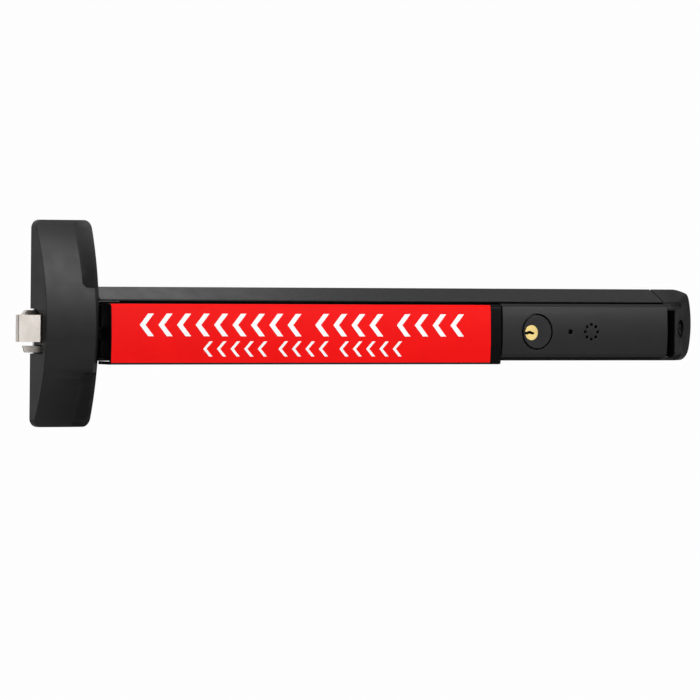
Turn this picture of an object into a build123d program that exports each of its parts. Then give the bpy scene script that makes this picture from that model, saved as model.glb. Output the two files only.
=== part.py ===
"""Rim panic exit bar with an alarm: latch head on the left, mounting rail, push bar, alarm housing and end cap.

Millimetres. +X runs along the bar from the latch head to the hinge end, +Y points into the door and +Z is up.
The door face is the plane Y = 0 and the origin is the middle of the head's back. A depth is a distance out
from the door, towards -Y.
"""
from build123d import *
import math
import os

os.makedirs("parts", exist_ok=True)

# ---- driving dimensions ----------------------------------------------------------------------------------
HEAD_HALF_W = 31.0       # half the latch head's width, along X
HEAD_HALF_H = 98.0       # half its height
HEAD_D = 32.4            # depth of its curved face at mid height
SHOULDER_Z = 92.5        # where the curved face meets the end bevels
SHOULDER_D = 9.3
RIM_D = 6.4              # depth of the straight rim at its top and bottom
FACE_X = 9.0             # right edge of its narrow face
SIDE_DEPTHS = (22.3, 5.8, 4.6)  # depths of the right side's middle, shoulders and rims
BOSS_X = 22.0            # right edge of the boss's face
BOSS_TOP, BOSS_LOW = 34.0, -46.0
WALL = 2.2
PLATE = 3.0              # base plate and rail web

RAIL_X = (31.05, 667.7)
RAIL_HALF = 35.0
RAIL_D = 24.0            # depth of the rail's hood lip and lower wall
HOOD_Z = 23.5

BAR_X = (34.8, 470.8)
LABEL_X = (36.0, 458.4)
BAR_TOP, BAR_LOW = 19.3, -38.4
BAR_D = 37.7             # greatest depth of the push bar's face
BAR_FLANGE_D = 14.0      # back edges of its flanges
BAR_WALL = 2.0
FILM = 0.3               # thickness of the label
CAP_PROUD = 0.2          # how far the bar's end caps stand above it

COVER_X = (475.0, 667.4)
COVER_D = 33.5
CROWN = 1.4              # rise of the alarm cover's face above its upper and lower edges
COVER_TOP, COVER_LOW = 20.5, -31.8
END_X = 715.2
END_EDGE_D = 3.7         # depth of the end cap where its slope runs out
RAMP_X = 676.6           # where the end cap starts to slope back to the door

CRANK_X = (130.0, 380.0)
CRANK_PIVOT_D = 19.5
LONG_ARM = (-20.0, 5.0)  # push bar's pin seen from a crank's pivot, as X and depth, at rest
SHORT_ARM = (-3.0, -12.0)  # connecting rod's pin seen from there
ROD_D = (6.0, 9.0)
PIVOT_R = 3.0
PIN_R = 2.0
CROSS_PIN_R = 1.4
PLAY = 0.25              # clearance each side of a pin in a slot
RUN = 0.05               # radial clearance of a running shaft
DOOR_HOLE_R = 2.75       # holes for the screws into the door
SCREW_R = 1.5            # small screws' shanks, and the threaded holes that take them

LEVER = (6.0, -33.0)     # retractor lever's pivot, as X and Z
LEVER_D = (9.5, 12.0)
ROD_PIN = (3.0, -21.0)
LATCH_PIN = (-3.0, 3.0)
STUD_R = 2.5
BOLT_Z = (-17.4, 8.2)
DEAD_Z = (-27.4, -21.0)
DEAD_D = (5.9, 17.5)     # depths of the deadlatch's underside and of the top of its tail

KEY = (514.9, -6.85)     # lock cylinder's centre
PLUG = (508.0, -7.5)
PLUG_R = 7.3
LED = (553.3, -6.8)
HORN = (577.9, -6.8)
END_SCREW = (689.4, -3.5)  # centre of its counterbore on the slope


# ---- helpers ---------------------------------------------------------------------------------------------
def facing(depth):
    """Plane parallel to the door at a depth: local x is X, local y is Z, and its normal points out."""
    return Plane(origin=(0, -depth, 0), x_dir=(1, 0, 0), z_dir=(0, -1, 0))


def plate(x, z, d, radius=0.0, mode=Mode.ADD):
    """Block from x[0] to x[1], z[0] to z[1] and depth d[0] to d[1], with rounded corners if asked."""
    with BuildSketch(facing(d[0])) as face:
        with Locations(((x[0] + x[1]) / 2, (z[0] + z[1]) / 2)):
            if radius > 0:
                RectangleRounded(x[1] - x[0], z[1] - z[0], radius)
            else:
                Rectangle(x[1] - x[0], z[1] - z[0])
    extrude(face.sketch, amount=d[1] - d[0], mode=mode)


def disc(centre, radius, d, mode=Mode.ADD):
    """Round bar square to the door, from depth d[0] to d[1]."""
    with BuildSketch(facing(d[0])) as face:
        with Locations(centre):
            Circle(radius)
    extrude(face.sketch, amount=d[1] - d[0], mode=mode)


def outline(points, d, mode=Mode.ADD):
    """Polygon of (X, Z) points, from depth d[0] to d[1]."""
    with BuildSketch(facing(d[0])) as face:
        with BuildLine():
            Polyline(*points, close=True)
        make_face()
    extrude(face.sketch, amount=d[1] - d[0], mode=mode)


def section(points, x, mode=Mode.ADD):
    """Polygon of (depth, Z) points, run along X from x[0] to x[1]."""
    with BuildSketch(Plane(origin=(x[1], 0, 0), x_dir=(0, -1, 0), z_dir=(-1, 0, 0))) as face:
        with BuildLine():
            Polyline(*points, close=True)
        make_face()
    extrude(face.sketch, amount=x[1] - x[0], mode=mode)


def level(z_top):
    """Plane square to Z: local x is X, local y is depth, and its normal points down."""
    return Plane(origin=(0, 0, z_top), x_dir=(1, 0, 0), z_dir=(0, 0, -1))


def plan(points, z, mode=Mode.ADD):
    """Polygon of (X, depth) points, from z[0] to z[1]."""
    with BuildSketch(level(z[1])) as face:
        with BuildLine():
            Polyline(*points, close=True)
        make_face()
    extrude(face.sketch, amount=z[1] - z[0], mode=mode)


def post(x, depth, radius, z, mode=Mode.ADD):
    """Round bar along Z, from z[0] to z[1]."""
    with BuildSketch(level(z[1])) as face:
        with Locations((x, depth)):
            Circle(radius)
    extrude(face.sketch, amount=z[1] - z[0], mode=mode)


def save(builder, name):
    builder.part.label = name
    export_step(builder.part, f"parts/{name}.step")


def screw(name, seat, head_r, head_h, shank_r, depth_in):
    """Pan-head screw whose head stands on the plane seat, with a cross recess."""
    with BuildPart() as piece:
        with BuildSketch(seat.offset(-depth_in)) as shank:
            Circle(shank_r)
        extrude(shank.sketch, amount=depth_in)
        with BuildSketch(seat) as head:
            Circle(head_r)
        extrude(head.sketch, amount=head_h)
        fillet(piece.faces().sort_by(Axis(seat.origin, seat.z_dir))[-1].edges(), head_h * 0.4)
        with BuildSketch(seat.offset(head_h * 0.45)) as cross:
            Rectangle(head_r * 1.24, head_r * 0.56)
            Rectangle(head_r * 0.56, head_r * 1.24)
        extrude(cross.sketch, amount=head_h, mode=Mode.SUBTRACT)
    save(piece, name)


# ---- latch head ------------------------------------------------------------------------------------------
HEAD_HOLES = [(-18, 84), (20, 84), (-18, -84), (20, -84)]
JOINER_X = (-12.0, 62.0)
JOINER_Z = (20.6, 27.6)
JOINER_T = 2.5
JOINER_SCREWS = [(-6, 24.1), (16, 24.1), (42, 24.1), (56, 24.1)]
HEAD_SCREW_D = 3.4       # depth of the two screws that hold the head cover, at its top and bottom
TAB_Z = (87.0, 93.0)
TAB_D = 5.6
SINK = 1.4               # depth of the counterbores for those screws' heads
BOLT_WINDOW = [(-1, 13.9), (9.5, 13.9), (20.0, 8.7), (25.0, 8.7), (25.0, -28.4), (-1, -28.4)]  # depth and Z


def make_head_base():
    with BuildPart() as base:
        plate((-28.4, 28.4), (-95.4, 95.4), (0, PLATE), radius=7)
        for side in (1, -1):
            tab = sorted((side * TAB_Z[0], side * TAB_Z[1]))
            plate((-7, 7), tab, (PLATE, TAB_D))
            hole = sorted((side * TAB_Z[0], side * HEAD_HALF_H))
            post(0, HEAD_SCREW_D, SCREW_R, hole, mode=Mode.SUBTRACT)
        for hole in HEAD_HOLES:
            disc(hole, DOOR_HOLE_R, (0, PLATE), mode=Mode.SUBTRACT)
        for hole in JOINER_SCREWS[:2]:
            disc(hole, SCREW_R, (0, PLATE), mode=Mode.SUBTRACT)
    save(base, "head_base")


def head_profile(x, depths, inset):
    """Section of the head at X = x; depths are those of its middle, shoulders and rims."""
    middle, shoulder, rim = [depth - part * inset for depth, part in zip(depths, (1.0, 1.0, 0.6))]
    shoulder_z = SHOULDER_Z - 0.6 * inset
    rim_z = HEAD_HALF_H - inset
    with BuildSketch(Plane(origin=(x, 0, 0), x_dir=(0, -1, 0), z_dir=(-1, 0, 0))) as profile:
        with BuildLine():
            ThreePointArc((shoulder, shoulder_z), (middle, 0), (shoulder, -shoulder_z))
            Polyline((shoulder, -shoulder_z), (rim, -rim_z), (0, -rim_z), (0, rim_z), (rim, rim_z),
                     (shoulder, shoulder_z))
        make_face()
    return profile.sketch


def head_form(inset):
    """The head's outer shape, or its hollow when inset by the wall: a curved column with a facet falling
    to its right side, and a boss that stays deep until the push bar."""
    full = (HEAD_D, SHOULDER_D, RIM_D)
    side = HEAD_HALF_W - inset
    with BuildPart() as boss:
        start = head_profile(BOSS_X, full, inset)
        extrude(start, amount=BOSS_X - FACE_X + 2)
        loft(sections=[start, head_profile(side, SIDE_DEPTHS, inset)])
        with BuildSketch(facing(-1)) as window:
            top = BOSS_TOP - inset
            low = BOSS_LOW + inset
            with BuildLine():
                Polyline((FACE_X - 2, top + 8), (FACE_X, top + 6))
                ThreePointArc((FACE_X, top + 6), (FACE_X + 2, top + 2), (FACE_X + 6, top))
                Polyline((FACE_X + 6, top), (40, top), (40, low), (FACE_X + 6, low))
                ThreePointArc((FACE_X + 6, low), (FACE_X + 2, low - 2), (FACE_X, low - 6))
                Polyline((FACE_X, low - 6), (FACE_X - 2, low - 8), (FACE_X - 2, top + 8))
            make_face()
        extrude(window.sketch, amount=60, mode=Mode.INTERSECT)
    with BuildPart() as whole:
        edge = head_profile(FACE_X, full, inset)
        extrude(edge, amount=FACE_X + side)
        loft(sections=[edge, head_profile(side, SIDE_DEPTHS, inset)])
        add(boss.part)
        with BuildSketch(facing(0)) as shape:
            Rectangle(2 * side, 2 * (HEAD_HALF_H - inset))
            fillet(shape.vertices(), 8 - inset)
        extrude(shape.sketch, amount=60, mode=Mode.INTERSECT)
    return whole.part


def make_head_cover():
    outer = head_form(0)
    inner = head_form(WALL)
    with BuildPart() as cover:
        add(outer)
        add(inner, mode=Mode.SUBTRACT)
        section(BOLT_WINDOW, (-HEAD_HALF_W - 1, -HEAD_HALF_W + 4), mode=Mode.SUBTRACT)
        plate((HEAD_HALF_W - 4, HEAD_HALF_W + 2), (-33.4, 31.0), (-1, 19.0), mode=Mode.SUBTRACT)
        for side in (1, -1):
            hole = sorted((side * (HEAD_HALF_H - 4), side * (HEAD_HALF_H + 1)))
            post(0, HEAD_SCREW_D, 1.6, hole, mode=Mode.SUBTRACT)
            sink = sorted((side * (HEAD_HALF_H - SINK), side * (HEAD_HALF_H + 1)))
            post(0, HEAD_SCREW_D, 2.4, sink, mode=Mode.SUBTRACT)
    save(cover, "head_cover")


def make_head_cover_screws():
    for name, side in (("top", 1), ("bottom", -1)):
        with BuildPart() as piece:
            shank = sorted((side * TAB_Z[0], side * (HEAD_HALF_H - SINK)))
            post(0, HEAD_SCREW_D, 1.45, shank)
            head = sorted((side * (HEAD_HALF_H - SINK), side * HEAD_HALF_H))
            post(0, HEAD_SCREW_D, 2.3, head)
            slot = sorted((side * (HEAD_HALF_H - SINK / 2), side * (HEAD_HALF_H + 1)))
            half = 0.3
            slot_d = (HEAD_SCREW_D - half, HEAD_SCREW_D + half)
            plan([(-3, slot_d[0]), (3, slot_d[0]), (3, slot_d[1]), (-3, slot_d[1])], slot, mode=Mode.SUBTRACT)
        save(piece, f"head_screw_{name}")


FRAME_X = (-27.5, -11.5)
FRAME_LEGS = [(13.0, 15.0), (-20.4, -18.0), (-30.6, -28.0)]
SHELF_D = 5.6            # top of the shelf that carries the deadlatch
ROOF_D = (20.4, 22.4)
LATCH_STOP_X = (25.0, 28.2)
DEAD_STOP_X = (20.0, 23.0)


def make_latch_frame():
    """Guide around the two bolts, and the posts that their springs push against."""
    with BuildPart() as frame:
        for leg in FRAME_LEGS:
            plate(FRAME_X, leg, (PLATE, ROOF_D[0]))
        plate(FRAME_X, (FRAME_LEGS[2][0], FRAME_LEGS[0][1]), ROOF_D)
        plate(FRAME_X, (FRAME_LEGS[2][1], FRAME_LEGS[1][0]), (PLATE, SHELF_D))
        plate(FRAME_X, (FRAME_LEGS[2][1], FRAME_LEGS[1][0]), (DEAD_D[1] + 0.3, ROOF_D[0]))
    save(frame, "latch_frame")
    with BuildPart() as stop:
        plate(LATCH_STOP_X, (-2.4, 8.0), (PLATE, 19.0))
    save(stop, "latch_spring_stop")
    with BuildPart() as stop:
        plate(DEAD_STOP_X, (-27.0, -19.5), (PLATE, 18.0))
    save(stop, "deadlatch_spring_stop")


TAIL_X = (-19.5, 1.0)
TAIL_D = (12.6, 18.2)
LATCH_TIP = -49.0
BOLT_UNDER_D = 3.4       # depth of the bolt's underside
LUG = [(-44.0, 5.0), (-44.0, 7.4), (-39.6, 12.6), (-29.4, 12.6), (-26.8, 8.2), (-26.8, 5.0)]  # X and Z
LUG_D = 8.6


def make_latch_bolt():
    """Bevelled bolt with a lower lug behind its top edge, and the tail that the lever pulls."""
    with BuildPart() as bolt:
        wedge = [(LATCH_TIP, 4.5), (LATCH_TIP, 9.0), (LATCH_TIP + 1, 10.2), (-31, 20), (TAIL_X[0], 20),
                 (TAIL_X[0], BOLT_UNDER_D), (LATCH_TIP + 4, BOLT_UNDER_D)]
        plan(wedge, BOLT_Z)
        outline(LUG, (BOLT_UNDER_D, LUG_D))
        plate(TAIL_X, (-5, 8), TAIL_D)
        disc(LATCH_PIN, PIN_R, (TAIL_D[0], TAIL_D[1] - 2), mode=Mode.SUBTRACT)
    save(bolt, "latch_bolt")
    with BuildPart() as pin:
        disc(LATCH_PIN, PIN_R, (LEVER_D[0], TAIL_D[1] - 2))
    save(pin, "latch_pin")


DEAD_X = (-43.0, -8.0)
DEAD_FACE_D = 13.4       # depth where its sloping nose ends
DEAD_TAIL_D = 12.5       # underside of its tail, which passes over the lever


def make_deadlatch():
    with BuildPart() as bolt:
        nose = [(DEAD_X[0], DEAD_D[0]), (DEAD_X[0], DEAD_D[0] + 1), (-29.5, DEAD_FACE_D), (-19, DEAD_FACE_D),
                (-19, DEAD_D[1]), (DEAD_X[1], DEAD_D[1]), (DEAD_X[1], DEAD_TAIL_D), (-15.5, DEAD_TAIL_D),
                (-15.5, DEAD_D[0])]
        plan(nose, DEAD_Z)
        top, low = DEAD_Z[1] - 0.4, DEAD_Z[0] - 1
        corner = [(DEAD_X[0] - 1, top), (DEAD_X[0], top), (DEAD_X[0] + 2.4, low), (DEAD_X[0] - 1, low)]
        outline(corner, (0, DEAD_D[1]), mode=Mode.SUBTRACT)
    save(bolt, "deadlatch_bolt")


# Springs behind the bolts: depth and Z of the axis, outer radius and wire.
LATCH_SPRING = (15.3, 2.6, 3.0, 0.9)
DEAD_SPRING = (15.1, -24.2, 2.4, 0.8)


def spring_along_x(name, x, form):
    depth, z, outer, wire = form
    with BuildPart() as spring:
        with BuildSketch(Plane(origin=(x[1], -depth, z), x_dir=(0, -1, 0), z_dir=(-1, 0, 0))) as ring:
            Circle(outer)
            Circle(outer - wire, mode=Mode.SUBTRACT)
        extrude(ring.sketch, amount=x[1] - x[0])
    save(spring, name)


def make_lever():
    """Arm that turns the connecting rod's short stroke into the latch bolt's long one."""
    lean = Vector(LATCH_PIN[0] - LEVER[0], LATCH_PIN[1] - LEVER[1], 0).normalized()
    start = Vector(LEVER[0], LEVER[1], 0)
    tip = start + lean * 43.5
    with BuildPart() as lever:
        with BuildSketch(facing(LEVER_D[0])) as arm:
            with Locations(LEVER):
                Circle(7)
            with Locations((tip.X, tip.Y)):
                Circle(3.2)
            side = Vector(-lean.Y, lean.X, 0)
            corners = [start + side * 6.2, tip + side * 4.2, tip - side * 4.2, start - side * 6.2]
            with BuildLine():
                Polyline(*[(corner.X, corner.Y) for corner in corners], close=True)
            make_face()
            with Locations(LEVER):
                Circle(STUD_R + RUN, mode=Mode.SUBTRACT)
            turn = Vector(1, 0, 0).get_signed_angle(lean, Vector(0, 0, 1))
            for pin in (LATCH_PIN, ROD_PIN):
                centre = Vector(pin[0], pin[1], 0) - lean * 0.35
                with Locations(Location((centre.X, centre.Y, 0), (0, 0, turn))):
                    SlotCenterToCenter(2.4, 2 * (PIN_R + PLAY), mode=Mode.SUBTRACT)
        extrude(arm.sketch, amount=LEVER_D[1] - LEVER_D[0])
    save(lever, "retractor_lever")
    with BuildPart() as stud:
        disc(LEVER, 4.5, (PLATE, LEVER_D[0] - 0.2))
        disc(LEVER, STUD_R, (LEVER_D[0] - 0.2, LEVER_D[1] + 1.5))
    save(stud, "lever_stud")
    with BuildPart() as clip:
        disc(LEVER, 4.5, (LEVER_D[1] + 0.3, LEVER_D[1] + 1.3))
        disc(LEVER, STUD_R, (LEVER_D[1] + 0.3, LEVER_D[1] + 1.3), mode=Mode.SUBTRACT)
        plate((LEVER[0] - 1.2, LEVER[0] + 1.2), (LEVER[1] - 6, LEVER[1]), (LEVER_D[1], LEVER_D[1] + 2),
              mode=Mode.SUBTRACT)
    save(clip, "lever_clip")


# ---- connecting rod and bell cranks ----------------------------------------------------------------------
ROD_X = (-2.0, 393.0)
ROD_Z = (-15.0, -3.0)
WINDOW_Z = (-12.4, -5.6)
WINDOW_REACH = 8.5
CRANK_T = (-11.8, -6.2)
HUB_Z = (-15.6, -2.4)
HUB_R = 5.6
EAR_Z = ((-18.4, -15.9), (-2.1, 0.4))
EAR_TOP_D = 24.0
FOOT_T = 2.0


def make_connecting_rod():
    with BuildPart() as rod:
        plate(ROD_X, ROD_Z, ROD_D)
        plate((ROD_X[0], ROD_X[0] + 10), (ROD_PIN[1] - 5, ROD_Z[0]), ROD_D)
        disc(ROD_PIN, PIN_R, ROD_D, mode=Mode.SUBTRACT)
        for x in CRANK_X:
            pin_x = x + SHORT_ARM[0]
            plate((pin_x - WINDOW_REACH, pin_x + WINDOW_REACH), WINDOW_Z, ROD_D, mode=Mode.SUBTRACT)
            post(pin_x, sum(ROD_D) / 2, CROSS_PIN_R, (ROD_Z[0], WINDOW_Z[0]), mode=Mode.SUBTRACT)
            post(pin_x, sum(ROD_D) / 2, CROSS_PIN_R, (WINDOW_Z[1], ROD_Z[1]), mode=Mode.SUBTRACT)
    save(rod, "connecting_rod")
    with BuildPart() as pin:
        disc(ROD_PIN, PIN_R, (ROD_D[0], LEVER_D[1] + 0.2))
    save(pin, "rod_lever_pin")
    for number, x in enumerate(CRANK_X, start=1):
        with BuildPart() as pin:
            post(x + SHORT_ARM[0], sum(ROD_D) / 2, CROSS_PIN_R, ROD_Z)
        save(pin, f"rod_cross_pin_{number}")


def crank_arm(x, reach, half_root, half_tip, beyond, slot_r, open_end):
    """One arm of a crank in plan, from the pivot at X = x along reach, slotted for its pin."""
    line = Vector(reach[0], reach[1], 0)
    along = line.normalized()
    side = Vector(-along.Y, along.X, 0)
    pivot = Vector(x, CRANK_PIVOT_D, 0)
    tip = pivot + line + along * beyond
    corners = [pivot + side * half_root, tip + side * half_tip, tip - side * half_tip, pivot - side * half_root]
    plan([(c.X, c.Y) for c in corners], CRANK_T)
    slot_start = pivot + line - along * (slot_r + 1.0)
    slot_end = tip + along if open_end else pivot + line + along * (slot_r + 0.2)
    corners = [slot_start + side * slot_r, slot_end + side * slot_r, slot_end - side * slot_r,
               slot_start - side * slot_r]
    plan([(c.X, c.Y) for c in corners], CRANK_T, mode=Mode.SUBTRACT)


def make_crank(number, x):
    with BuildPart() as crank:
        crank_arm(x, LONG_ARM, 4.6, 4.2, 4.4, PIN_R + PLAY, False)
        crank_arm(x, SHORT_ARM, 4.6, 3.4, 2.6, CROSS_PIN_R + PLAY, True)
        post(x, CRANK_PIVOT_D, HUB_R, HUB_Z)
        post(x, CRANK_PIVOT_D, PIVOT_R + RUN, HUB_Z, mode=Mode.SUBTRACT)
    save(crank, f"bell_crank_{number}")
    with BuildPart() as bracket:
        for ear in EAR_Z:
            plan([(x - 9, PLATE), (x + 9, PLATE), (x + 5, EAR_TOP_D), (x - 5, EAR_TOP_D)], ear)
            post(x, CRANK_PIVOT_D, PIVOT_R, ear, mode=Mode.SUBTRACT)
        plate((x - 9, x + 9), (EAR_Z[0][0] - 6, EAR_Z[0][0]), (PLATE, PLATE + FOOT_T))
        plate((x - 9, x + 9), (EAR_Z[1][1], EAR_Z[1][1] + 8), (PLATE, PLATE + FOOT_T))
        plate((x - 9, x + 9), (EAR_Z[0][1], EAR_Z[1][0]), (PLATE, PLATE + 1.0))
    save(bracket, f"crank_bracket_{number}")
    with BuildPart() as pin:
        post(x, CRANK_PIVOT_D, PIVOT_R, (EAR_Z[0][0] - 0.6, EAR_Z[1][1] + 0.6))
    save(pin, f"crank_pin_{number}")


# ---- rail ------------------------------------------------------------------------------------------------
def hood_z(depth):
    """Height of the rail's sloping hood at a depth."""
    return RAIL_HALF - (RAIL_HALF - HOOD_Z) * depth / RAIL_D


RAIL_WALL = 2.8
LIP_LOW_Z = 22.0
SEAM = 0.15              # gap between the rail's end and the end cap
GROOVE = 0.6             # width cut from the hood on each side of the seam, which shows as a dark line
GROOVE_DEEP = 1.2


def cut_seam_groove(x):
    """Cuts the hood's outer face back, from x[0] to x[1]."""
    section([(-1, hood_z(-1) - GROOVE_DEEP), (RAIL_D + 1, hood_z(RAIL_D + 1) - GROOVE_DEEP),
             (RAIL_D + 1, RAIL_HALF + 1), (-1, RAIL_HALF + 1)], x, mode=Mode.SUBTRACT)


def make_rail():
    with BuildPart() as rail:
        lip = hood_z(RAIL_D)
        profile = [(0, -RAIL_HALF), (RAIL_D, -RAIL_HALF), (RAIL_D, -RAIL_HALF + 3), (PLATE, -RAIL_HALF + 3),
                   (PLATE, hood_z(PLATE) - RAIL_WALL), (RAIL_D - 2.4, hood_z(RAIL_D - 2.4) - RAIL_WALL),
                   (RAIL_D - 2.4, LIP_LOW_Z), (RAIL_D, LIP_LOW_Z), (RAIL_D, lip), (0, RAIL_HALF)]
        section(profile, RAIL_X)
        for hole in JOINER_SCREWS[2:]:
            disc(hole, SCREW_R, (0, PLATE), mode=Mode.SUBTRACT)
        cut_seam_groove((RAIL_X[1] - GROOVE, RAIL_X[1] + 1))
    save(rail, "rail_channel")
    with BuildPart() as joiner:
        plate(JOINER_X, JOINER_Z, (PLATE, PLATE + JOINER_T))
        for hole in JOINER_SCREWS:
            disc(hole, SCREW_R, (PLATE, PLATE + JOINER_T), mode=Mode.SUBTRACT)
    save(joiner, "rail_joiner")
    for number, hole in enumerate(JOINER_SCREWS, start=1):
        seat = Plane(origin=(hole[0], -(PLATE + JOINER_T), hole[1]), x_dir=(1, 0, 0), z_dir=(0, -1, 0))
        screw(f"joiner_screw_{number}", seat, 2.6, 1.6, SCREW_R, 5.0)


# ---- push bar --------------------------------------------------------------------------------------------
def bar_outline(proud):
    """The push bar's face, from its top bevel to its lower lip, proud of the bare bar by a thickness."""
    top = (34.6 + proud, BAR_TOP)
    edge = (36.7 + proud, 17.2)
    middle = (BAR_D + proud, -9.0)
    low = (36.9 + proud, -36.6)
    turn = (36.37 + proud, -37.87)
    end = (35.1 + proud, BAR_LOW)
    return top, edge, middle, low, turn, end


def bar_section(x, proud, inner_d, flange_d):
    """Solid or hollow section of the bar, run along X."""
    top, edge, middle, low, turn, end = bar_outline(proud)
    with BuildSketch(Plane(origin=(x[1], 0, 0), x_dir=(0, -1, 0), z_dir=(-1, 0, 0))) as face:
        with BuildLine():
            Polyline((flange_d, BAR_TOP), top, edge)
            ThreePointArc(edge, middle, low)
            ThreePointArc(low, turn, end)
            Polyline(end, (flange_d, BAR_LOW), (flange_d, BAR_LOW + 2.1), (inner_d, BAR_LOW + 2.1),
                     (inner_d, BAR_TOP - BAR_WALL), (flange_d, BAR_TOP - BAR_WALL), (flange_d, BAR_TOP))
        make_face()
    extrude(face.sketch, amount=x[1] - x[0])


BAR_INNER_D = 35.4
CAP_FILL_D = 19.4


def make_push_bar():
    with BuildPart() as bar:
        bar_section(LABEL_X, 0, BAR_INNER_D, BAR_FLANGE_D)
    save(bar, "push_bar")
    with BuildPart() as film:
        top, edge, middle, low, turn, end = bar_outline(0)
        with BuildSketch(Plane(origin=(LABEL_X[1], 0, 0), x_dir=(0, -1, 0), z_dir=(-1, 0, 0))) as face:
            with BuildLine():
                Polyline(top, edge)
                ThreePointArc(edge, middle, low)
                Line(low, (low[0] + FILM, low[1]))
                ThreePointArc((low[0] + FILM, low[1]), (middle[0] + FILM, middle[1]), (edge[0] + FILM, edge[1]))
                Polyline((edge[0] + FILM, edge[1]), (top[0] + FILM, top[1]), top)
            make_face()
        extrude(face.sketch, amount=LABEL_X[1] - LABEL_X[0])
    save(film, "push_bar_label")
    for name, x in (("left", (BAR_X[0], LABEL_X[0])), ("right", (LABEL_X[1], BAR_X[1]))):
        with BuildPart() as cap:
            bar_section(x, FILM + CAP_PROUD, BAR_INNER_D, BAR_FLANGE_D)
            plate(x, (-31.0, BAR_TOP - BAR_WALL), (CAP_FILL_D, BAR_INNER_D))
            plate(x, (BAR_LOW + 2.1, -RAIL_HALF - 0.3), (BAR_FLANGE_D, BAR_INNER_D))
        save(cap, f"push_bar_cap_{name}")


CLEVIS_EARS = ((-15.0, -12.4), (-5.6, -3.0))


def make_clevis(number, x):
    pin_x = x + LONG_ARM[0]
    pin_d = CRANK_PIVOT_D + LONG_ARM[1]
    with BuildPart() as clevis:
        plate((pin_x - 7, pin_x + 7), (-21, 3), (BAR_INNER_D - 2, BAR_INNER_D))
        for ear in CLEVIS_EARS:
            plate((pin_x - 5, pin_x + 5), ear, (pin_d - 4, BAR_INNER_D - 2))
            post(pin_x, pin_d, PIN_R, ear, mode=Mode.SUBTRACT)
    save(clevis, f"bar_clevis_{number}")
    with BuildPart() as pin:
        post(pin_x, pin_d, PIN_R, (CLEVIS_EARS[0][0] - 0.5, CLEVIS_EARS[1][1] + 0.5))
    save(pin, f"clevis_pin_{number}")


RETURN_SPRINGS = (75.0, 425.0)
SPRING_Z = -9.0


def make_return_spring(number, x):
    with BuildPart() as guide:
        disc((x, SPRING_Z), 4.0, (ROD_D[1] + 1.0, 22.0))
        plate((x - 8, x + 8), (-21, 3), (ROD_D[1] + 0.5, ROD_D[1] + 2.0))
        for leg in ((-21.0, -17.0), (-1.0, 3.0)):
            plate((x - 8, x + 8), leg, (PLATE, ROD_D[1] + 0.5))
    save(guide, f"spring_guide_{number}")
    with BuildPart() as spring:
        with BuildSketch(facing(ROD_D[1] + 2.0)) as ring:
            with Locations((x, SPRING_Z)):
                Circle(6.6)
                Circle(5.0, mode=Mode.SUBTRACT)
        extrude(ring.sketch, amount=BAR_INNER_D - ROD_D[1] - 2.0)
    save(spring, f"return_spring_{number}")


# ---- alarm housing ---------------------------------------------------------------------------------------
LED_HOLE_R = 2.6
HORN_HOLES = 8
HORN_HOLE_R = 1.6
HORN_RING = 7.2
COVER_BACK_D = 3.4
COVER_HOLE_R = 17.85     # hole around the lock cylinder


def cover_form(inset, x):
    """The alarm housing's section, or its hollow: a crowned face, a bevelled top and a narrow lower bevel."""
    shoulder = COVER_D - CROWN - inset
    ease = inset * 0.4
    low, top = COVER_LOW + inset, COVER_TOP - inset
    with BuildSketch(Plane(origin=(x[1], 0, 0), x_dir=(0, -1, 0), z_dir=(-1, 0, 0))) as face:
        with BuildLine():
            Polyline((shoulder, COVER_LOW + 3.1 + ease), (shoulder - 2.2, low), (COVER_BACK_D, low),
                     (COVER_BACK_D, top), (shoulder - 3.7, top), (shoulder, COVER_TOP - 3.2 - ease))
            ThreePointArc((shoulder, COVER_TOP - 3.2 - ease), (COVER_D - inset, (COVER_TOP + COVER_LOW) / 2),
                          (shoulder, COVER_LOW + 3.1 + ease))
        make_face()
    extrude(face.sketch, amount=x[1] - x[0])


def make_alarm_cover():
    with BuildPart() as hollow:
        cover_form(2.0, (COVER_X[0] + 2, COVER_X[1] - 2))
    with BuildPart() as cover:
        cover_form(0, COVER_X)
        add(hollow.part, mode=Mode.SUBTRACT)
        plate((COVER_X[0] + 2, COVER_X[1] - 2), (COVER_LOW + 2, COVER_TOP - 2), (2, 6), mode=Mode.SUBTRACT)
        front = (COVER_D - 4, COVER_D + 1)
        disc(KEY, COVER_HOLE_R, front, mode=Mode.SUBTRACT)
        disc(LED, LED_HOLE_R, front, mode=Mode.SUBTRACT)
        with BuildSketch(facing(front[0])) as holes:
            with Locations(HORN):
                with PolarLocations(HORN_RING, HORN_HOLES):
                    Circle(HORN_HOLE_R)
        extrude(holes.sketch, amount=5, mode=Mode.SUBTRACT)
    save(cover, "alarm_cover")


CYLINDER_R = 15.0
RIM_R = 16.0
RIM_T = 3.0
BRACKET_D = (9.0, 12.0)
RING_T = 3.0
KEYWAY = [(-8.5, -1.9), (-4.0, -1.9), (-3.4, -1.2), (-1.2, -1.2), (-0.4, -1.8), (2.8, -1.8), (3.3, -1.2),
          (2.8, 0.5), (0.6, 0.5), (-0.6, 1.7), (-4.4, 1.7), (-5.0, 0.7), (-8.5, 0.7)]  # from the plug's centre


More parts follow.
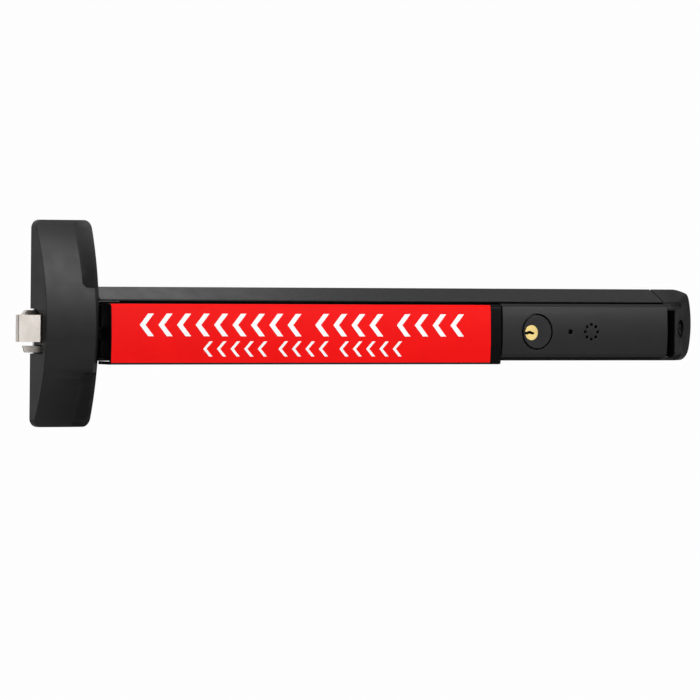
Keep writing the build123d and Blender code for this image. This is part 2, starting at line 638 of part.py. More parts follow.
def make_lock_cylinder():
    with BuildPart() as shell:
        disc(KEY, CYLINDER_R, (6.5, COVER_D - RIM_T))
        disc(KEY, RIM_R, (COVER_D - RIM_T, COVER_D))
        disc(PLUG, PLUG_R + RUN, (6.5, COVER_D), mode=Mode.SUBTRACT)
    save(shell, "cylinder_shell")
    with BuildPart() as plug:
        disc(PLUG, PLUG_R, (6.0, COVER_D + 0.2))
        outline([(PLUG[0] + x, PLUG[1] + z) for x, z in KEYWAY], (10, COVER_D + 1), mode=Mode.SUBTRACT)
    save(plug, "cylinder_plug")
    with BuildPart() as cam:
        with BuildSketch(facing(3.6)) as shape:
            with Locations(PLUG):
                Circle(6.2)
            with Locations((PLUG[0], PLUG[1] + 10.5)):
                Circle(3.0)
            with Locations((PLUG[0], PLUG[1] + 5.2)):
                Rectangle(6.0, 10.4)
        extrude(shape.sketch, amount=6.0 - 3.6)
    save(cam, "cylinder_cam")
    with BuildPart() as nut:
        behind_rim = (COVER_D - RIM_T - 0.2 - RING_T, COVER_D - RIM_T - 0.2)
        disc(KEY, COVER_HOLE_R - 0.65, behind_rim)
        disc(KEY, CYLINDER_R, behind_rim, mode=Mode.SUBTRACT)
    save(nut, "cylinder_ring")
    with BuildPart() as bracket:
        span = (KEY[0] - 20, KEY[0] + 20)
        plate(span, (-29.0, 17.5), BRACKET_D)
        disc(KEY, CYLINDER_R, BRACKET_D, mode=Mode.SUBTRACT)
        for leg in ((-29.0, -26.5), (15.0, 17.5)):
            plate(span, leg, (PLATE, BRACKET_D[0]))
    save(bracket, "cylinder_bracket")


BOARD_X = (541.0, 606.0)
BOARD_Z = (-26.0, 13.0)
BOARD_D = (14.0, 15.6)
LAMP_TIP_D = 30.5


def make_alarm_electronics():
    corners = [(x, z) for x in (BOARD_X[0] + 4, BOARD_X[1] - 4) for z in (BOARD_Z[0] + 4, BOARD_Z[1] - 4)]
    with BuildPart() as board:
        plate(BOARD_X, BOARD_Z, BOARD_D)
        for corner in corners:
            disc(corner, SCREW_R, BOARD_D, mode=Mode.SUBTRACT)
    save(board, "alarm_board")
    for number, x in enumerate((BOARD_X[0] + 4, BOARD_X[1] - 4), start=1):
        with BuildPart() as standoff:
            plate((x - 3, x + 3), (BOARD_Z[0] + 1, BOARD_Z[1] - 1), (PLATE, PLATE + 2))
            for corner in [corner for corner in corners if corner[0] == x]:
                disc(corner, 3.0, (PLATE + 2, BOARD_D[0]))
                disc(corner, SCREW_R, (BOARD_D[0], BOARD_D[1] + 1.2))
        save(standoff, f"board_standoff_{number}")
    with BuildPart() as horn:
        disc(HORN, 11.5, (BOARD_D[1], 27.0))
        fillet(horn.faces().sort_by(Axis.Y)[0].edges(), 1.2)
        disc(HORN, 2.0, (25.0, 28.0), mode=Mode.SUBTRACT)
    save(horn, "alarm_horn")
    with BuildPart() as lamp:
        disc(LED, 2.35, (BOARD_D[1], LAMP_TIP_D))
        fillet(lamp.faces().sort_by(Axis.Y)[0].edges(), 1.2)
    save(lamp, "led_lamp")
    with BuildPart() as battery:
        plate((612.5, 659.0), (-20.0, 6.5), (5.0, 22.5))
        fillet(battery.edges().filter_by(Axis.X), 1.5)
    save(battery, "battery")
    with BuildPart() as tray:
        plate((610.5, 661.5), (-22.0, 8.5), (PLATE, 12.0))
        plate((612.5, 659.0), (-20.0, 6.5), (5.0, 13.0), mode=Mode.SUBTRACT)
    save(tray, "battery_tray")


# ---- end cap ---------------------------------------------------------------------------------------------
END_CORNER = [(694.0, 35.0), (704.0, 31.9), (710.6, 23.8)]  # start, middle and end of its rounded corners
END_WALL = 2.2
RIDGE_R = 5.0            # rounding along the edges of the slope
END_BASE_X = (670.2, 704.6)
END_BASE_HALF = 29.0
END_HOLES = [(696.0, 17.0), (696.0, -21.0)]
RECESS_Z = (COVER_LOW + 0.4, 14.5)
RECESS_D = 20.0          # depth of the recess's floor
BOSS_R = 3.5
SINK_R = 9.0             # counterbore for the end screw's head, square to the slope
SINK_H = 2.8
SLOPE = (COVER_D - END_EDGE_D) / (END_X - RAMP_X)


def ramp_depth(x):
    """Depth of the end cap's slope at an X."""
    return COVER_D - SLOPE * (x - RAMP_X)


def end_form(inset):
    """The end cap's outer shape, or its hollow when inset: the rail's section, mitred by a slope."""
    start = RAIL_X[1] + SEAM + inset
    stop = END_X - inset
    top = RAIL_HALF - inset
    front = COVER_D - CROWN - inset
    lip = RAIL_D - inset
    cover_low, cover_top = RECESS_Z[0] + inset, COVER_TOP - inset
    with BuildPart() as form:
        section([(0, -top), (lip, -top), (lip, cover_low), (front - 2.2, cover_low), (front, cover_low + 2.7),
                 (front, cover_top - 3.2), (front - 3.7, cover_top), (lip, cover_top), (lip, HOOD_Z - inset),
                 (0, top)], (start, stop))
        with BuildSketch(facing(0)) as foot:
            with BuildLine():
                upper = [(x - inset, z - inset) for x, z in END_CORNER]
                lower = [(x, -z) for x, z in upper]
                Polyline(upper[0], (start, top), (start, -top), lower[0])
                ThreePointArc(*lower)
                ThreePointArc(lower[2], (stop, 0), upper[2])
                ThreePointArc(*upper)
            make_face()
        extrude(foot.sketch, amount=COVER_D, mode=Mode.INTERSECT)
        drop = inset * math.hypot(1, SLOPE)
        left = start - 1
        ramp = [(left, 0), (left, ramp_depth(left) - drop), (END_X, END_EDGE_D - drop), (END_X, 0)]
        plan(ramp, (-60, 60), mode=Mode.INTERSECT)
    return form.part


def slope_normal():
    lean = math.atan(SLOPE)
    return Vector(math.sin(lean), -math.cos(lean), 0)


def end_outside():
    """The end cap's outer shape, rounded along the outer edges of its slope."""
    with BuildPart() as form:
        add(end_form(0))
        slope = [face for face in form.faces() if (face.normal_at() - slope_normal()).length < 0.01][0]
        fillet([edge for edge in slope.edges() if edge.center().X > RAMP_X + 2.5], RIDGE_R)
    return form.part


def end_screw_plane(below):
    """Plane square to the end screw's axis, this far below the slope."""
    normal = slope_normal()
    centre = Vector(END_SCREW[0], -ramp_depth(END_SCREW[0]), END_SCREW[1])
    return Plane(origin=centre - normal * below, x_dir=(0, 0, 1), z_dir=normal)


def on_axis(radius, below, mode=Mode.ADD):
    """Round bar along the end screw's axis, between two distances below the slope."""
    with BuildSketch(end_screw_plane(below[1])) as face:
        Circle(radius)
    extrude(face.sketch, amount=below[1] - below[0], mode=mode)


def make_end_cap():
    seat = SINK_H + END_WALL
    with BuildPart() as base:
        on_axis(BOSS_R, (seat, 40))
        plate((END_BASE_X[0] - 20, END_X), (-40, 40), (-30, PLATE), mode=Mode.SUBTRACT)
        plate((END_BASE_X[0] - 20, END_BASE_X[0] + 1), (-40, 40), (-30, COVER_D), mode=Mode.SUBTRACT)
        plate(END_BASE_X, (-END_BASE_HALF, END_BASE_HALF), (0, PLATE), radius=6)
        on_axis(SCREW_R, (seat, 18), mode=Mode.SUBTRACT)
        for hole in END_HOLES:
            disc(hole, DOOR_HOLE_R, (0, PLATE), mode=Mode.SUBTRACT)
    save(base, "end_base")
    outer = end_outside()
    inner = end_form(END_WALL)
    with BuildPart() as cap:
        add(outer)
        add(inner, mode=Mode.SUBTRACT)
        inside = (END_BASE_X[0] - 0.3, END_BASE_X[1] + 0.3)
        half = END_BASE_HALF + 0.4
        plate(inside, (-half, half), (-1, PLATE + 0.2), radius=6, mode=Mode.SUBTRACT)
        recess = (RAIL_X[1] - 1, RAMP_X)
        plate(recess, RECESS_Z, (RECESS_D, COVER_D + 1), mode=Mode.SUBTRACT)
        plate(recess, (RECESS_Z[0], RECESS_Z[1] + END_WALL), (RECESS_D - END_WALL, RECESS_D))
        plate(recess, (RECESS_Z[1], RECESS_Z[1] + END_WALL), (RECESS_D, COVER_D))
        beside = (RAMP_X, RAMP_X + END_WALL)
        plate(beside, (RECESS_Z[0], RECESS_Z[1] + END_WALL), (RECESS_D - END_WALL, COVER_D))
        on_axis(SINK_R + 2, (0, seat))
        add(outer, mode=Mode.INTERSECT)
        on_axis(SINK_R, (-5, SINK_H), mode=Mode.SUBTRACT)
        on_axis(1.7, (-5, seat + 1), mode=Mode.SUBTRACT)
        cut_seam_groove((RAIL_X[1], RAIL_X[1] + SEAM + GROOVE))
    save(cap, "end_cap")
    screw("end_cap_screw", end_screw_plane(SINK_H), 4.4, 2.2, SCREW_R, 11.0)


def main():
    make_head_base()
    make_head_cover()
    make_head_cover_screws()
    make_latch_frame()
    make_latch_bolt()
    make_deadlatch()
    spring_along_x("latch_spring", (TAIL_X[1], LATCH_STOP_X[0]), LATCH_SPRING)
    spring_along_x("deadlatch_spring", (DEAD_X[1], DEAD_STOP_X[0]), DEAD_SPRING)
    make_lever()
    make_connecting_rod()
    make_rail()
    make_push_bar()
    for number, x in enumerate(CRANK_X, start=1):
        make_crank(number, x)
        make_clevis(number, x)
    for number, x in enumerate(RETURN_SPRINGS, start=1):
        make_return_spring(number, x)
    make_alarm_cover()
    make_lock_cylinder()
    make_alarm_electronics()
    make_end_cap()


main()
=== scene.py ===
"""Panic exit bar with an alarm: finishes, label, springs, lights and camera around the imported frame.

Metres, in the frame's axes: +X along the bar from the latch head, +Y into the door, +Z up.
"""
from math import cos, pi, radians, sin

import bmesh
import bpy
from mathutils import Matrix, Vector
from mathutils.bvhtree import BVHTree


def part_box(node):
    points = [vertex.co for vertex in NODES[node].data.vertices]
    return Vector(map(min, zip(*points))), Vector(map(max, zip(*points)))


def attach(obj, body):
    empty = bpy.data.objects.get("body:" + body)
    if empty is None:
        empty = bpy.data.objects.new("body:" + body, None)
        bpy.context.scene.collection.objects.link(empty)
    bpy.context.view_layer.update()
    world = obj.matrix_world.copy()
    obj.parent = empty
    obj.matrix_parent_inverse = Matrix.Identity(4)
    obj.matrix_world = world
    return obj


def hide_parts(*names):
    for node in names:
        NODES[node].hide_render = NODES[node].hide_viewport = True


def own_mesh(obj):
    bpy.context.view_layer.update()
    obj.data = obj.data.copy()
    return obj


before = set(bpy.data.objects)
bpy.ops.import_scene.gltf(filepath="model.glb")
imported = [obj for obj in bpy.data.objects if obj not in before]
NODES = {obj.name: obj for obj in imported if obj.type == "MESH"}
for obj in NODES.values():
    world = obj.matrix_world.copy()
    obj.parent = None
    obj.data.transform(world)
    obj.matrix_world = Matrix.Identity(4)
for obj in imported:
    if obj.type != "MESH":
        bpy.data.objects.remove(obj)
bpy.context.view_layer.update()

SCENE = bpy.context.scene
MM = 0.001
COAT_ROUGHNESS = 0.1
EDGE_RADIUS = 0.9 * MM   # how round the painted pieces' edges are shaded
PAINT_WEAR = (0.515, 0.60)  # pointiness where the paint starts to thin, and where it is thinnest
THIN_PAINT = (0.020, 0.020, 0.021)
# Painted shade, with some dirt: the dark colour taken deep in a pocket such as the keyway
SHADE_AND_GRIME = (0.004, 0.003, 0.002)
SHADE_AND_GRIME_FADE = 0.3 * MM    # depth over which the painted shade and dirt set in


# ---- node helpers --------------------------------------------------------------------------------
def new_material(name, roughness, metallic=0.0, specular=0.5, coat=0.0):
    """A material with its Principled shader; what is the same all over is set on the shader's sockets."""
    material = bpy.data.materials.new(name)
    material.use_nodes = True
    tree = material.node_tree
    shader = tree.nodes["Principled BSDF"]
    shader.inputs["Roughness"].default_value = roughness
    shader.inputs["Metallic"].default_value = metallic
    shader.inputs["Specular IOR Level"].default_value = specular
    shader.inputs["Coat Weight"].default_value = coat
    shader.inputs["Coat Roughness"].default_value = COAT_ROUGHNESS
    return material, tree, shader


def coordinates(tree, stretch=(1, 1, 1)):
    """Object coordinates, in metres, stretched along the axes."""
    place = tree.nodes.new("ShaderNodeTexCoord")
    mapping = tree.nodes.new("ShaderNodeMapping")
    mapping.inputs["Scale"].default_value = stretch
    tree.links.new(place.outputs["Object"], mapping.inputs["Vector"])
    return mapping.outputs["Vector"]


def noise(tree, vector, scale, detail=3.0, roughness=0.5):
    texture = tree.nodes.new("ShaderNodeTexNoise")
    texture.inputs["Scale"].default_value = scale
    texture.inputs["Detail"].default_value = detail
    texture.inputs["Roughness"].default_value = roughness
    tree.links.new(vector, texture.inputs["Vector"])
    return texture.outputs["Fac"]


def spread(tree, value, low, high, from_low=0.3, from_high=0.7):
    """Maps a 0 to 1 value into a range, clamped."""
    mapper = tree.nodes.new("ShaderNodeMapRange")
    mapper.inputs["From Min"].default_value = from_low
    mapper.inputs["From Max"].default_value = from_high
    mapper.inputs["To Min"].default_value = low
    mapper.inputs["To Max"].default_value = high
    tree.links.new(value, mapper.inputs["Value"])
    return mapper.outputs["Result"]


def blend_colours(tree, factor, first, second):
    """Mixes two colours, or a colour and a socket, by a factor."""
    mix = tree.nodes.new("ShaderNodeMix")
    mix.data_type = "RGBA"
    tree.links.new(factor, mix.inputs["Factor"])
    for socket, value in ((mix.inputs["A"], first), (mix.inputs["B"], second)):
        if isinstance(value, bpy.types.NodeSocket):
            tree.links.new(value, socket)
        else:
            socket.default_value = (*value, 1.0)
    return mix.outputs["Result"]


def bump(tree, shader, height, strength, distance, edge_radius=0.0):
    """Fine relief, over edges that look rounded by a radius if one is given."""
    node = tree.nodes.new("ShaderNodeBump")
    if edge_radius > 0:
        rounding = tree.nodes.new("ShaderNodeBevel")
        rounding.samples = 6
        rounding.inputs["Radius"].default_value = edge_radius
        tree.links.new(rounding.outputs["Normal"], node.inputs["Normal"])
    node.inputs["Strength"].default_value = strength
    node.inputs["Distance"].default_value = distance
    tree.links.new(height, node.inputs["Height"])
    tree.links.new(node.outputs["Normal"], shader.inputs["Normal"])


def worn_edges(tree, low, high):
    """0 on flat stretches and 1 on convex edges, from the surface's pointiness."""
    geometry = tree.nodes.new("ShaderNodeNewGeometry")
    return spread(tree, geometry.outputs["Pointiness"], 0.0, 1.0, low, high)


# ---- finishes ------------------------------------------------------------------------------------
def painted(name, colour, roughness, specular=0.16):
    """Satin enamel: fine orange peel, slightly uneven gloss and thinner, paler paint on the edges."""
    material, tree, shader = new_material(name, roughness, specular=specular)
    place = coordinates(tree)
    mottle = noise(tree, place, scale=14.0, detail=2.0)
    tint = blend_colours(tree, spread(tree, mottle, 0.0, 1.0), colour, tuple(c * 1.25 for c in colour))
    edges = worn_edges(tree, *PAINT_WEAR)
    tree.links.new(blend_colours(tree, edges, tint, THIN_PAINT), shader.inputs["Base Color"])
    gloss = spread(tree, noise(tree, place, scale=60.0), roughness - 0.04, roughness + 0.05)
    tree.links.new(gloss, shader.inputs["Roughness"])
    peel = noise(tree, place, scale=1600.0, detail=2.0)
    bump(tree, shader, peel, strength=0.10, distance=0.2 * MM, edge_radius=EDGE_RADIUS)
    return material


def moulded(name, colour, roughness, specular=0.2):
    """Moulded plastic with a fine spark-eroded grain."""
    material, tree, shader = new_material(name, roughness, specular=specular)
    place = coordinates(tree)
    mottle = spread(tree, noise(tree, place, scale=30.0), 0.0, 1.0)
    tint = blend_colours(tree, mottle, colour, tuple(c * 1.3 for c in colour))
    tree.links.new(tint, shader.inputs["Base Color"])
    grain = noise(tree, place, scale=2600.0, detail=1.0)
    bump(tree, shader, grain, strength=0.18, distance=0.2 * MM)
    return material


def brushed(name, colour, roughness, stretch, strength=0.12, metallic=1.0, pocket=None):
    """Metal with fine scratches, longest along the axis with the least stretch and an even grain if all are
    equal, soft blotches of tarnish, and painted shade with some dirt in pockets deeper than a Y if one is
    given."""
    material, tree, shader = new_material(name, roughness, metallic=metallic)
    lines = noise(tree, coordinates(tree, stretch), scale=900.0, detail=4.0, roughness=0.7)
    blotches = noise(tree, coordinates(tree), scale=90.0)
    tint = blend_colours(tree, spread(tree, blotches, 0.0, 1.0), colour, tuple(c * 0.86 for c in colour))
    # Painted shade, with some dirt: darker and no longer metallic deeper than the pocket's Y
    if pocket is not None:
        split = tree.nodes.new("ShaderNodeSeparateXYZ")
        tree.links.new(coordinates(tree), split.inputs["Vector"])
        shade_and_grime = spread(tree, split.outputs["Y"], 0.0, 1.0, from_low=pocket, from_high=pocket + SHADE_AND_GRIME_FADE)
        tint = blend_colours(tree, shade_and_grime, tint, SHADE_AND_GRIME)
        shine = spread(tree, shade_and_grime, metallic, 0.0, from_low=0.0, from_high=1.0)
        tree.links.new(shine, shader.inputs["Metallic"])
    tree.links.new(tint, shader.inputs["Base Color"])
    tree.links.new(spread(tree, lines, roughness - 0.07, roughness + 0.09), shader.inputs["Roughness"])
    bump(tree, shader, lines, strength, distance=0.1 * MM)
    return material


def printed(name, roughness, specular, patch_scale, colours):
    """Printed film or ink: a flat colour that drifts very slightly between two shades."""
    material, tree, shader = new_material(name, roughness, specular=specular)
    place = coordinates(tree)
    patches = spread(tree, noise(tree, place, patch_scale), 0.0, 1.0)
    tree.links.new(blend_colours(tree, patches, *colours), shader.inputs["Base Color"])
    bump(tree, shader, noise(tree, place, scale=1500.0, detail=2.0), strength=0.04, distance=0.1 * MM)
    return material


def circuit_board():
    """Solder mask over copper tracks that show as a faint lattice."""
    material, tree, shader = new_material("board_green", 0.4, coat=0.3)
    cells = tree.nodes.new("ShaderNodeTexVoronoi")
    cells.feature = "DISTANCE_TO_EDGE"
    cells.distance = "EUCLIDEAN"
    cells.inputs["Scale"].default_value = 260.0
    tree.links.new(coordinates(tree), cells.inputs["Vector"])
    tracks = spread(tree, cells.outputs["Distance"], 1.0, 0.0, from_low=0.02, from_high=0.06)
    tint = blend_colours(tree, tracks, (0.010, 0.10, 0.030), (0.03, 0.22, 0.07))
    tree.links.new(tint, shader.inputs["Base Color"])
    bump(tree, shader, tracks, strength=0.3, distance=0.2 * MM)
    return material


def numbered(name, count):
    return [f"{name}_{number}" for number in range(1, count + 1)]


def assign(material, *names):
    for name in names:
        data = NODES[name].data
        data.materials.clear()
        data.materials.append(material)


BLACK = (0.0040, 0.0041, 0.0043)
HEAD_PAINT = painted("head_paint", BLACK, 0.36)
RAIL_PAINT = painted("rail_paint", BLACK, 0.36)
COVER_PAINT = painted("cover_paint", (0.0055, 0.0056, 0.0059), 0.34, specular=0.21)
PLASTIC = moulded("cap_plastic", (0.0025, 0.0025, 0.0027), 0.33, specular=0.06)
RED = printed("label_red", 0.42, 0.08, 35.0, [(0.86, 0.0045, 0.0042), (0.80, 0.0035, 0.0035)])
WHITE = printed("label_white", 0.45, 0.3, 220.0, [(0.93, 0.93, 0.93), (0.86, 0.86, 0.86)])
NICKEL = brushed("satin_nickel", (0.72, 0.67, 0.62), 0.36, (3, 3, 1.5), strength=0.2)
STEEL = brushed("zinc_steel", (0.56, 0.57, 0.60), 0.36, (1.5, 60, 60))
SPRING = brushed("spring_steel", (0.42, 0.42, 0.45), 0.30, (60, 60, 60))
# The brass plug is darkened and made non-metallic inside its keyway, as painted shade with some dirt
BRASS = brushed("key_brass", (1.0, 0.76, 0.28), 0.38, (40, 40, 2), metallic=0.45, pocket=-33.6 * MM)
BATTERY = brushed("battery_can", (0.30, 0.31, 0.34), 0.40, (2, 50, 50))
BOARD = circuit_board()
LENS = moulded("lamp_lens", (0.002, 0.001, 0.001), 0.3)
HORN_BLACK = moulded("horn_black", (0.006, 0.006, 0.006), 0.5)

assign(HEAD_PAINT, "head_cover", "head_screw_top", "head_screw_bottom")
assign(RAIL_PAINT, "rail_channel", "push_bar", "end_cap", "end_cap_screw")
# The cylinder ring is steel, but takes the black cover paint as painted shade, so the gap round the cylinder
# stays dark
assign(COVER_PAINT, "alarm_cover", "cylinder_shell", "cylinder_ring", "latch_frame")
assign(PLASTIC, "push_bar_cap_left", "push_bar_cap_right", "battery_tray", *numbered("spring_guide", 2),
       *numbered("board_standoff", 2))
assign(RED, "push_bar_label")
assign(NICKEL, "latch_bolt", "deadlatch_bolt", "latch_pin")
assign(BRASS, "cylinder_plug")
assign(BOARD, "alarm_board")
assign(LENS, "led_lamp")
assign(HORN_BLACK, "alarm_horn")
assign(BATTERY, "battery")
assign(STEEL, "head_base", "latch_spring_stop", "deadlatch_spring_stop", "lever_stud", "lever_clip",
       "rail_joiner", "cylinder_bracket", "end_base", "connecting_rod", "rod_lever_pin", "retractor_lever",
       "cylinder_cam", *numbered("joiner_screw", 4))
for pair in ("crank_bracket", "crank_pin", "bar_clevis", "clevis_pin", "bell_crank", "rod_cross_pin"):
    assign(STEEL, *numbered(pair, 2))


# ---- rounded edges on the CAD pieces -------------------------------------------------------------
EDGE_SEGMENTS = 3
SHARP_ANGLE = 28         # degrees between faces, from which their edge is broken
FLAT_ANGLE = 0.6         # degrees between faces, up to which they are joined into one
FACE_WEIGHT = 98         # how far large faces set the normals beside them


def round_edges(name, width):
    """Breaks the sharp edges of a CAD piece, as paint and tumbling do, without changing its own mesh."""
    piece = NODES[name]
    weld = piece.modifiers.new("weld", "WELD")
    weld.merge_threshold = 0.01 * MM
    flat = piece.modifiers.new("flat_faces", "DECIMATE")
    flat.decimate_type = "DISSOLVE"
    flat.angle_limit = radians(FLAT_ANGLE)
    modifier = piece.modifiers.new("edges", "BEVEL")
    modifier.width = width
    modifier.segments = EDGE_SEGMENTS
    modifier.limit_method = "ANGLE"
    modifier.angle_limit = radians(SHARP_ANGLE)
    modifier.use_clamp_overlap = True
    normals = piece.modifiers.new("normals", "WEIGHTED_NORMAL")
    normals.mode = "FACE_AREA"
    normals.weight = FACE_WEIGHT
    normals.keep_sharp = False


for node_name, edge in (("latch_bolt", 0.7), ("deadlatch_bolt", 0.5), ("push_bar_cap_left", 0.5),
                        ("push_bar_cap_right", 1.4)):
    round_edges(node_name, edge * MM)


# ---- pieces made here ----------------------------------------------------------------------------
def add_mesh(name, mesh_maker, material, body):
    """A new object from a bmesh, with its material, riding on a body."""
    mesh = bmesh.new()
    mesh_maker(mesh)
    data = bpy.data.meshes.new(name)
    mesh.to_mesh(data)
    mesh.free()
    data.materials.append(material)
    piece = bpy.data.objects.new(name, data)
    SCENE.collection.objects.link(piece)
    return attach(piece, body)


LABEL_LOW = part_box("push_bar_label")[0]
LABEL_TREE = BVHTree.FromPolygons([v.co for v in NODES["push_bar_label"].data.vertices],
                                  [tuple(p.vertices) for p in NODES["push_bar_label"].data.polygons])
INK = 0.06 * MM          # thickness of the printing
SLICES = 6               # faces in a stroke, so that it follows the label's curve
IN_FRONT = 50 * MM       # how far in front of the label its rays start


def on_label(x, z):
    """The point of the label's curved face in front of (x, z), with the ink's thickness added."""
    hit = LABEL_TREE.ray_cast(Vector((x, LABEL_LOW.y - IN_FRONT, z)), Vector((0, 1, 0)))[0]
    return Vector((x, hit.y - INK, z))


def stroke(mesh, start, end, width):
    """A slanted stroke of ink, cut level at both ends and laid in slices on the curved face."""
    rows = []
    for i in range(SLICES + 1):
        share = i / SLICES
        x = start[0] + (end[0] - start[0]) * share
        z = start[1] + (end[1] - start[1]) * share
        rows.append((mesh.verts.new(on_label(x, z)), mesh.verts.new(on_label(x + width, z))))
    for lower, upper in zip(rows, rows[1:]):
        face = mesh.faces.new((lower[0], lower[1], upper[1], upper[0]))
        face.normal_update()
        if face.normal.y > 0:
            face.normal_flip()


def chevron(mesh, x, z, width, height, thick):
    """A chevron that points towards the latch."""
    tip = (x - width / 2, z)
    tail = x + width / 2 - thick
    stroke(mesh, tip, (tail, z + height / 2), thick)
    stroke(mesh, tip, (tail, z - height / 2), thick)


def row_of_chevrons(mesh, z, start, pitch, groups, gap, width, height, thick):
    """Chevrons at a pitch along the label, in groups with a further gap between them."""
    x = LABEL_LOW.x + start
    for group in groups:
        for _ in range(group):
            chevron(mesh, x, z, width, height, thick)
            x += pitch
        x += gap


def upper_row(mesh):
    row_of_chevrons(mesh, z=-0.6 * MM, start=38.0 * MM, pitch=20.3 * MM, groups=(9, 4, 4), gap=10.5 * MM,
                    width=15.5 * MM, height=21.5 * MM, thick=6.2 * MM)


def lower_row(mesh):
    row_of_chevrons(mesh, z=-23.4 * MM, start=105.0 * MM, pitch=15.0 * MM, groups=(5, 4, 5), gap=8.0 * MM,
                    width=10.5 * MM, height=14.5 * MM, thick=3.6 * MM)


add_mesh("label_row_upper", upper_row, WHITE, "push_bar")
add_mesh("label_row_lower", lower_row, WHITE, "push_bar")


STEPS_PER_TURN = 20
END_CLOSING = 0.35       # share of the pitch that eases in and out, which draws the end turns together


def coil(name, replaced, axis, radius, wire, turns):
    """A wound compression spring in place of a CAD tube, with its end turns closer than the rest."""
    low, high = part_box(replaced)
    centre = (low + high) / 2
    length = (high - low)[axis] - 2 * wire
    start = Vector(centre)
    start[axis] = low[axis] + wire
    others = [i for i in range(3) if i != axis]
    curve = bpy.data.curves.new(name, "CURVE")
    curve.dimensions = "3D"
    curve.bevel_depth = wire / 2
    curve.bevel_resolution = 3
    steps = turns * STEPS_PER_TURN
    spline = curve.splines.new("POLY")
    spline.points.add(steps)
    for i, point in enumerate(spline.points):
        share = i / steps
        eased = share * share * (3 - 2 * share) * END_CLOSING + share * (1 - END_CLOSING)
        place = Vector(start)
        place[axis] += length * eased
        place[others[0]] += radius * cos(2 * pi * turns * share)
        place[others[1]] += radius * sin(2 * pi * turns * share)
        point.co = (*place, 1.0)
    holder = bpy.data.objects.new(name + "_curve", curve)
    SCENE.collection.objects.link(holder)
    data = bpy.data.meshes.new_from_object(holder.evaluated_get(bpy.context.evaluated_depsgraph_get()))
    bpy.data.objects.remove(holder)
    data.materials.clear()
    data.materials.append(SPRING)
    for polygon in data.polygons:
        polygon.use_smooth = True
    piece = bpy.data.objects.new(name, data)
    SCENE.collection.objects.link(piece)
    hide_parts(replaced)
    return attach(piece, "chassis"), low, high


def place_springs():
    piece, low, high = coil("latch_coil", "latch_spring", 0, 2.5 * MM, 0.9 * MM, 8)
    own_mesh(piece)
    piece, low, high = coil("deadlatch_coil", "deadlatch_spring", 0, 2.0 * MM, 0.7 * MM, 11)
    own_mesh(piece)
    for number in (1, 2):
        piece, low, high = coil(f"return_coil_{number}", f"return_spring_{number}", 1, 5.8 * MM, 1.2 * MM, 6)
        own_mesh(piece)


place_springs()


# ---- camera --------------------------------------------------------------------------------------
def add_camera():
    azimuth, elevation, roll = radians(31.0), radians(1.0), radians(0.6)
    distance = 7.130
    target = Vector((0.3211, 0, 0))
    drop = 0.0252
    back = Vector((-sin(azimuth) * cos(elevation), -cos(azimuth) * cos(elevation), sin(elevation)))
    right = Vector((cos(azimuth), -sin(azimuth), 0))
    up = back.cross(right)
    tilted_right = right * cos(roll) + up * sin(roll)
    tilted_up = up * cos(roll) - right * sin(roll)
    data = bpy.data.cameras.new("camera")
    data.lens = 378.6
    data.sensor_width = 36.0
    data.clip_end = 100.0
    camera = bpy.data.objects.new("camera", data)
    SCENE.collection.objects.link(camera)
    turn = Matrix((tilted_right, tilted_up, back)).transposed().to_4x4()
    camera.matrix_world = Matrix.Translation(target + back * distance - tilted_up * drop) @ turn
    SCENE.camera = camera


# ---- lights, floor and surroundings ----------------------------------------------------------------
FLOOR_Z = -1.25
DIM = 0.17               # world strength from just below the horizon down
SKY = 0.26               # world strength overhead, except towards the white backdrop


def softbox(name, place, aim, size, energy, spread_angle):
    data = bpy.data.lights.new(name, "AREA")
    data.shape = "RECTANGLE"
    data.size, data.size_y = size
    data.energy = energy
    data.spread = radians(spread_angle)
    light = bpy.data.objects.new(name, data)
    SCENE.collection.objects.link(light)
    light.location = place
    light.rotation_mode = "QUATERNION"
    light.rotation_quaternion = (Vector(aim) - Vector(place)).to_track_quat("-Z", "Y")


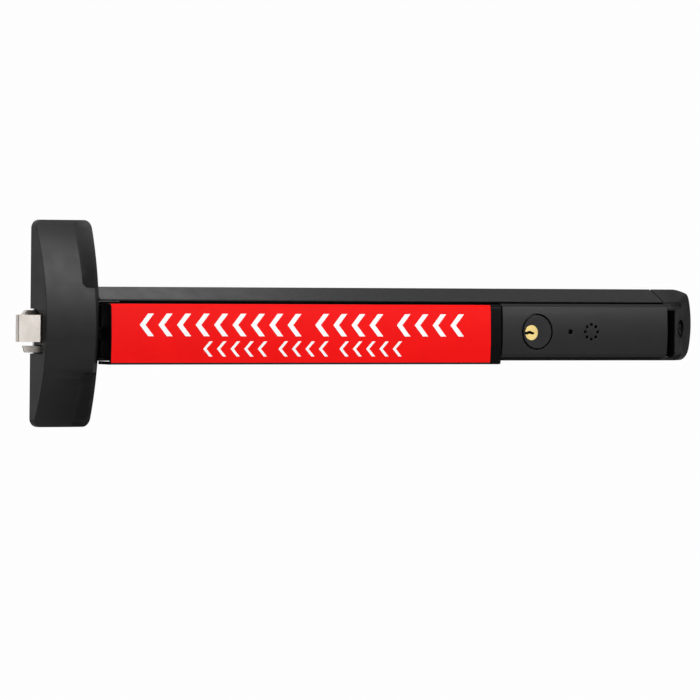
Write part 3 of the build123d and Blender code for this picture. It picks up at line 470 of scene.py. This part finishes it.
def add_lights():
    softbox("key", (0.3, -1.0, 2.2), aim=(0.33, 0, 0.05), size=(2.2, 0.7), energy=2.7, spread_angle=70)
    softbox("face", (0.94, -1.25, 0.78), aim=(0.1, 0, 0.03), size=(1.3, 1.0), energy=6.4, spread_angle=80)
    softbox("left", (-1.5, -2.2, 0.35), aim=(0, 0, 0), size=(0.9, 0.9), energy=1.7, spread_angle=80)
    softbox("hood", (0.6, 0.75, 1.0), aim=(0.05, 0, 0.03), size=(0.5, 0.5), energy=0.45, spread_angle=100)


def add_floor():
    mesh = bmesh.new()
    corners = [(-10.0, -10.0), (11.0, -10.0), (11.0, 9.0), (-10.0, 9.0)]
    mesh.faces.new([mesh.verts.new((x, y, FLOOR_Z)) for x, y in corners])
    data = bpy.data.meshes.new("floor")
    mesh.to_mesh(data)
    mesh.free()
    material, tree, shader = new_material("floor_pale", 0.8)
    patches = noise(tree, coordinates(tree), scale=3.0)
    tint = blend_colours(tree, patches, (0.86, 0.86, 0.86), (0.90, 0.90, 0.90))
    tree.links.new(tint, shader.inputs["Base Color"])
    data.materials.append(material)
    floor = bpy.data.objects.new("floor", data)
    SCENE.collection.objects.link(floor)


def add_world():
    """A pale studio: a white backdrop towards +Y, and elsewhere dim low down and brighter overhead."""
    world = bpy.data.worlds.new("studio")
    world.use_nodes = True
    tree = world.node_tree
    background = tree.nodes["Background"]
    background.inputs["Color"].default_value = (0.985, 0.985, 0.985, 1.0)
    place = tree.nodes.new("ShaderNodeTexCoord")
    split = tree.nodes.new("ShaderNodeSeparateXYZ")
    tree.links.new(place.outputs["Generated"], split.inputs["Vector"])
    height = spread(tree, split.outputs["Z"], DIM, SKY, from_low=-0.1, from_high=0.6)
    behind = spread(tree, split.outputs["Y"], 0.0, 1.0, from_low=0.60, from_high=0.80)
    join = tree.nodes.new("ShaderNodeMix")
    tree.links.new(behind, join.inputs["Factor"])
    tree.links.new(height, join.inputs["A"])
    join.inputs["B"].default_value = 1.0
    tree.links.new(join.outputs["Result"], background.inputs["Strength"])
    SCENE.world = world
    SCENE.view_settings.view_transform = "Standard"


add_camera()
add_lights()
add_floor()
add_world()
